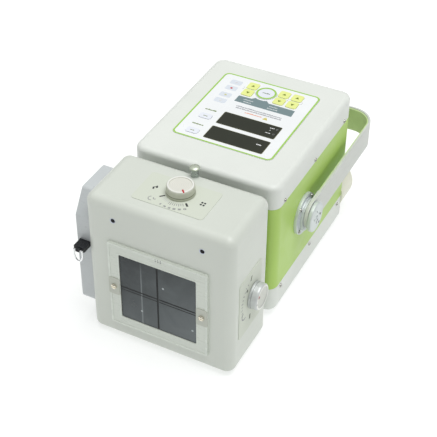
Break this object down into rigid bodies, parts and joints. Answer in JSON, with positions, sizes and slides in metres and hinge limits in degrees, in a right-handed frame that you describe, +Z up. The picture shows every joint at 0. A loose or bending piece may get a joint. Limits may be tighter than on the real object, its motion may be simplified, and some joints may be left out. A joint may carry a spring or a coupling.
{
  "type": "portable x-ray unit",
  "caption": "Portable X-ray generator with a green band, a membrane panel, a square light-field collimator in front and a swinging bail handle.",
  "frame": {"origin": "on the ground plane under the feet, below the middle of the overall bounding box", "axes": "-Y along the X-ray beam, out of the collimator window; +X to the right when the window is faced, the side with the knob; +Z up"},
  "size_m": [0.24, 0.438, 0.2325],
  "materials": {
    "cover_plastic": "satin moulded plastic, pale grey-white",
    "body_green": "satin moulded plastic, light green",
    "case_paint": "satin paint, pale grey",
    "tape_paint": "satin paint, cool grey",
    "rubber_black": "matt",
    "bumper_cream": "satin, cream",
    "panel_white": "printed membrane",
    "display_smoke": "smoked window, unlit",
    "lamp_red": "indicator lamps",
    "key_yellow": "satin, lime yellow",
    "key_green": "satin, green",
    "key_white": "satin, white",
    "board": "circuit board",
    "steel": "zinc-plated",
    "leaf_metal": "dull plated",
    "tube_glass": "clear",
    "copper": "turned copper",
    "capacitor_blue": "sleeved aluminium cans",
    "hub_metal": "turned, satin",
    "strap_metal": "brushed",
    "liner_olive": "matt olive green",
    "window_grey": "smoke grey",
    "laser_body": "anodised",
    "scale_beige": "printed film",
    "screw_steel": "plated",
    "knob_cream": "satin",
    "mirror_glass": "front-silvered",
    "lamp_ceramic": "ceramic lamp holder",
    "chrome": "polished",
    "reel_plastic": "moulded",
    "blade_steel": "yellow lacquered spring steel",
    "grip_black": "satin",
    "rear_dark": "dark grey paint",
    "inlet_black": "satin",
    "switch_black": "gloss",
    "socket_metal": "nickel-plated shell"
  },
  "bodies": {
    "unit": {"top_cover": "cover_plastic", "middle_shell": "body_green", "bottom_cover": "cover_plastic", "feet": "rubber_black", "rear_bumpers": "bumper_cream", "chassis_plate": "steel", "panel_face": "panel_white", "display_windows": "display_smoke", "indicator_lamps": "lamp_red", "display_board": "board", "rear_panel": "rear_dark", "power_inlet": "inlet_black", "hand_switch_socket": "socket_metal", "tube_tank": "steel", "tube_envelope": "tube_glass", "tube_electrodes": "copper", "inverter_board": "board", "control_board": "board", "capacitor_bank": "capacitor_blue", "port_neck": "steel", "hub_flanges": "hub_metal", "hub_caps": "hub_metal", "collimator_case": "case_paint", "collimator_back": "steel", "front_frame": "case_paint", "window_pane": "window_grey", "frame_clips": "case_paint", "laser_modules": "laser_body", "scale_plates": "scale_beige", "small_screws": "screw_steel", "leaf_frame": "steel", "light_mirror": "mirror_glass", "field_lamp": "lamp_ceramic", "tape_housing": "tape_paint"},
    "key_1": {"key_1": "key_yellow"},
    "key_2": {"key_2": "key_yellow"},
    "key_3": {"key_3": "key_yellow"},
    "key_4": {"key_4": "key_yellow"},
    "key_5": {"key_5": "key_yellow"},
    "key_6": {"key_6": "key_yellow"},
    "ring_key": {"ring_key": "key_green"},
    "mode_key": {"mode_key": "key_white"},
    "memory_key": {"memory_key": "key_white"},
    "power_switch": {"power_switch": "switch_black"},
    "handle": {"handle_strap": "strap_metal", "handle_liner": "liner_olive"},
    "top_knob": {"top_knob": "knob_cream", "top_knob_shaft": "steel"},
    "side_knob": {"side_knob": "knob_cream", "side_knob_shaft": "steel"},
    "leaf_left": {"leaf_left": "leaf_metal"},
    "leaf_right": {"leaf_right": "leaf_metal"},
    "leaf_upper": {"leaf_upper": "leaf_metal"},
    "leaf_lower": {"leaf_lower": "leaf_metal"},
    "lamp_plunger": {"lamp_plunger": "chrome"},
    "tape_reel": {"tape_reel": "reel_plastic"},
    "tape_end": {"tape_blade": "blade_steel", "tape_pull": "grip_black"},
    "tape_ring": {"tape_ring": "chrome"}
  },
  "joints": [
    {"name": "handle_tilt", "type": "hinge", "parent": "unit", "child": "handle", "pos_m": [0, -0.008, 0.117], "axis": [1, 0, 0], "range_deg": [-20, 120]},
    {"name": "key_1_press", "type": "slide", "parent": "unit", "child": "key_1", "axis": [0, 0, -1], "range_m": [0, 0.0005], "stiffness_N_per_m": 1500, "springref_m": -0.0003},
    {"name": "key_2_press", "type": "slide", "parent": "unit", "child": "key_2", "axis": [0, 0, -1], "range_m": [0, 0.0005], "stiffness_N_per_m": 1500, "springref_m": -0.0003},
    {"name": "key_3_press", "type": "slide", "parent": "unit", "child": "key_3", "axis": [0, 0, -1], "range_m": [0, 0.0005], "stiffness_N_per_m": 1500, "springref_m": -0.0003},
    {"name": "key_4_press", "type": "slide", "parent": "unit", "child": "key_4", "axis": [0, 0, -1], "range_m": [0, 0.0005], "stiffness_N_per_m": 1500, "springref_m": -0.0003},
    {"name": "key_5_press", "type": "slide", "parent": "unit", "child": "key_5", "axis": [0, 0, -1], "range_m": [0, 0.0005], "stiffness_N_per_m": 1500, "springref_m": -0.0003},
    {"name": "key_6_press", "type": "slide", "parent": "unit", "child": "key_6", "axis": [0, 0, -1], "range_m": [0, 0.0005], "stiffness_N_per_m": 1500, "springref_m": -0.0003},
    {"name": "ring_key_press", "type": "slide", "parent": "unit", "child": "ring_key", "axis": [0, 0, -1], "range_m": [0, 0.0005], "stiffness_N_per_m": 1500, "springref_m": -0.0003},
    {"name": "mode_key_press", "type": "slide", "parent": "unit", "child": "mode_key", "axis": [0, 0, -1], "range_m": [0, 0.0005], "stiffness_N_per_m": 1500, "springref_m": -0.0003},
    {"name": "memory_key_press", "type": "slide", "parent": "unit", "child": "memory_key", "axis": [0, 0, -1], "range_m": [0, 0.0005], "stiffness_N_per_m": 1500, "springref_m": -0.0003},
    {"name": "power_switch_rock", "type": "hinge", "parent": "unit", "child": "power_switch", "pos_m": [-0.006, 0.145, 0.091], "axis": [-1, 0, 0], "range_deg": [0, 16]},
    {"name": "top_knob_turn", "type": "hinge", "parent": "unit", "child": "top_knob", "pos_m": [0.004, -0.157, 0.2], "axis": [0, 0, 1], "range_deg": [-75, 75]},
    {"name": "side_knob_turn", "type": "hinge", "parent": "unit", "child": "side_knob", "pos_m": [0.1, -0.1547, 0.0963], "axis": [1, 0, 0], "range_deg": [-75, 75]},
    {"name": "left_leaf_slide", "type": "slide", "parent": "unit", "child": "leaf_left", "axis": [1, 0, 0], "range_m": [-0.0117, 0.0117]},
    {"name": "right_leaf_slide", "type": "slide", "parent": "unit", "child": "leaf_right", "axis": [1, 0, 0], "range_m": [-0.012, 0.012]},
    {"name": "upper_leaf_slide", "type": "slide", "parent": "unit", "child": "leaf_upper", "axis": [0, 0, 1], "range_m": [-0.0117, 0.0117]},
    {"name": "lower_leaf_slide", "type": "slide", "parent": "unit", "child": "leaf_lower", "axis": [0, 0, 1], "range_m": [-0.012, 0.012]},
    {"name": "lamp_plunger_push", "type": "slide", "parent": "unit", "child": "lamp_plunger", "axis": [0, 0, -1], "range_m": [0, 0.004], "stiffness_N_per_m": 600, "springref_m": -0.002},
    {"name": "tape_draw", "type": "slide", "parent": "unit", "child": "tape_end", "axis": [0, -1, 0], "range_m": [0, 0.025], "stiffness_N_per_m": 20, "springref_m": -0.05},
    {"name": "tape_reel_spin", "type": "hinge", "parent": "unit", "child": "tape_reel", "pos_m": [-0.108, -0.156, 0.1072], "axis": [1, 0, 0], "range_deg": [0, 60]},
    {"name": "tape_ring_swing", "type": "hinge", "parent": "tape_end", "child": "tape_ring", "pos_m": [-0.108, -0.2166, 0.1301], "axis": [1, 0, 0], "range_deg": [-120, 15]}
  ],
  "couplings": [
    {"joint": "right_leaf_slide", "follows": "left_leaf_slide", "ratio": -1},
    {"joint": "top_knob_turn", "follows": "left_leaf_slide", "rad_per_m": 111.11},
    {"joint": "lower_leaf_slide", "follows": "upper_leaf_slide", "ratio": -1},
    {"joint": "side_knob_turn", "follows": "upper_leaf_slide", "rad_per_m": 111.11},
    {"joint": "tape_reel_spin", "follows": "tape_draw", "rad_per_m": 40.816}
  ]
}
